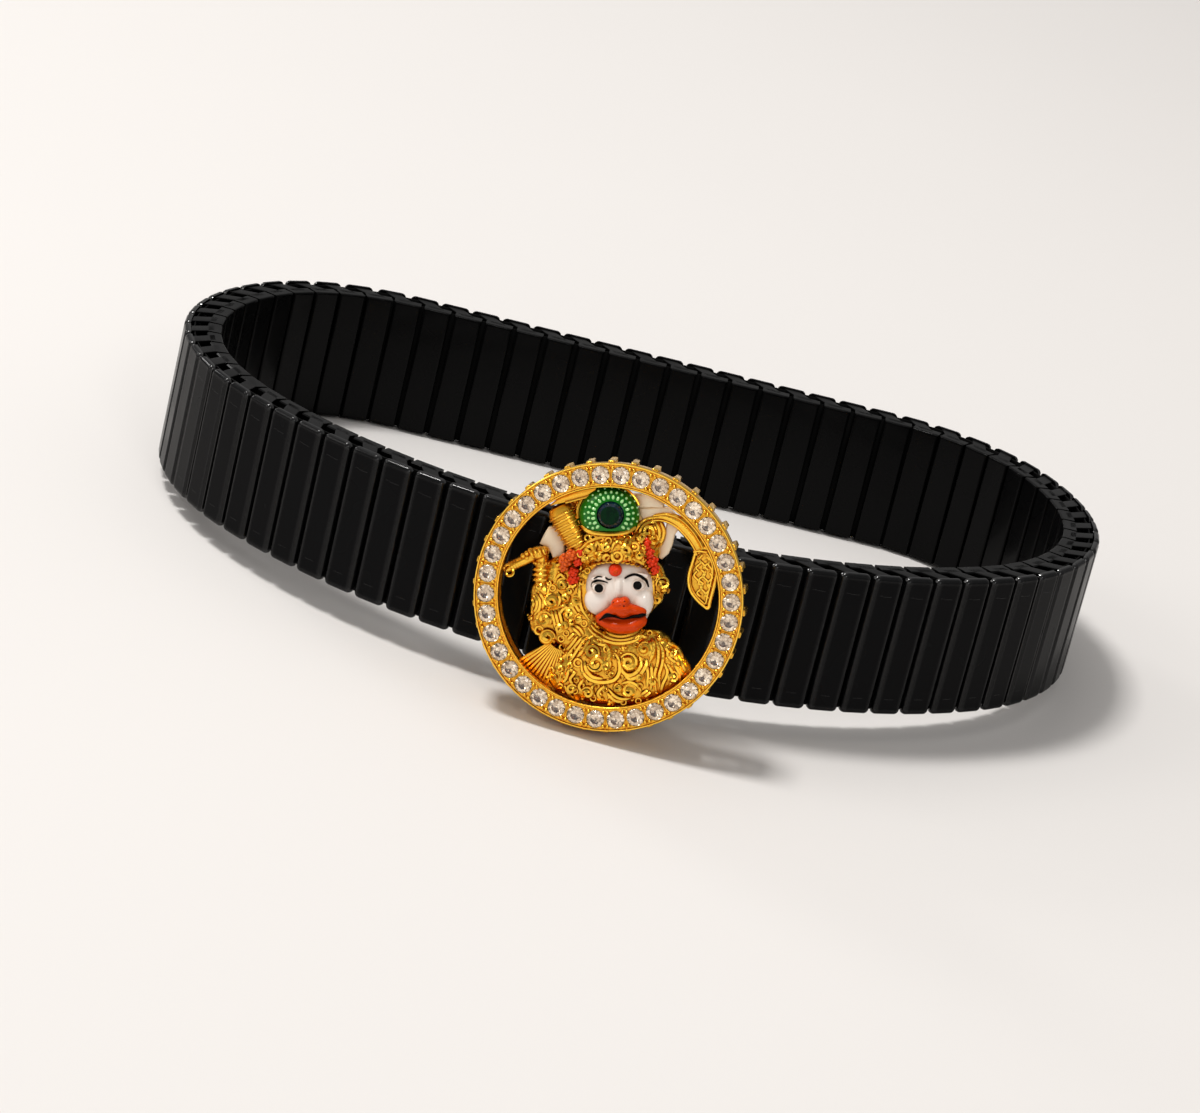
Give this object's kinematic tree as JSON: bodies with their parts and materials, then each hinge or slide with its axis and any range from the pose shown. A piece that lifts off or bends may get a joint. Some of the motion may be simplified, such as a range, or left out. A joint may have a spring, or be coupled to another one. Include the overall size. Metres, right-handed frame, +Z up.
{
  "type": "medallion bracelet",
  "caption": "Black stretch bracelet of steel links with a round pierced gold medallion of a devotional bust in a ring of clear stones.",
  "frame": {"origin": "middle of the box on the ground under the bracelet at rest", "axes": "+Z up, +X along the long way of the loop, -Y towards the medallion at the front"},
  "size_m": [0.069, 0.053, 0.0183],
  "materials": {
    "black_steel": "glossy black coated steel",
    "gold": "polished yellow gold plating",
    "green_enamel": "glossy green enamel",
    "dark_stone": "polished dark green cabochon",
    "white_enamel": "glossy white enamel",
    "orange_enamel": "glossy orange-red enamel",
    "red_enamel": "glossy red enamel",
    "clear_stone": "clear faceted stone"
  },
  "bodies": {
    "root": {"outer_links": "black_steel", "inner_links": "black_steel", "medallion_casting": "gold", "halo_enamel": "green_enamel", "halo_stone": "dark_stone", "face_enamel": "white_enamel", "muzzle_enamel": "orange_enamel", "forehead_dot": "red_enamel", "side_flowers": "red_enamel", "white_ribbons": "white_enamel", "ring_stone_01": "clear_stone", "ring_stone_02": "clear_stone", "ring_stone_03": "clear_stone", "ring_stone_04": "clear_stone", "ring_stone_05": "clear_stone", "ring_stone_06": "clear_stone", "ring_stone_07": "clear_stone", "ring_stone_08": "clear_stone", "ring_stone_09": "clear_stone", "ring_stone_10": "clear_stone", "ring_stone_11": "clear_stone", "ring_stone_12": "clear_stone", "ring_stone_13": "clear_stone", "ring_stone_14": "clear_stone", "ring_stone_15": "clear_stone", "ring_stone_16": "clear_stone", "ring_stone_17": "clear_stone", "ring_stone_18": "clear_stone", "ring_stone_19": "clear_stone", "ring_stone_20": "clear_stone", "ring_stone_21": "clear_stone", "ring_stone_22": "clear_stone", "ring_stone_23": "clear_stone", "ring_stone_24": "clear_stone", "ring_stone_25": "clear_stone", "ring_stone_26": "clear_stone", "ring_stone_27": "clear_stone", "ring_stone_28": "clear_stone", "ring_stone_29": "clear_stone", "ring_stone_30": "clear_stone", "ring_stone_31": "clear_stone", "ring_stone_32": "clear_stone", "ring_stone_33": "clear_stone", "ring_stone_34": "clear_stone", "ring_stone_35": "clear_stone", "ring_stone_36": "clear_stone", "ring_stone_37": "clear_stone", "ring_stone_38": "clear_stone"}
  },
  "joints": []
}
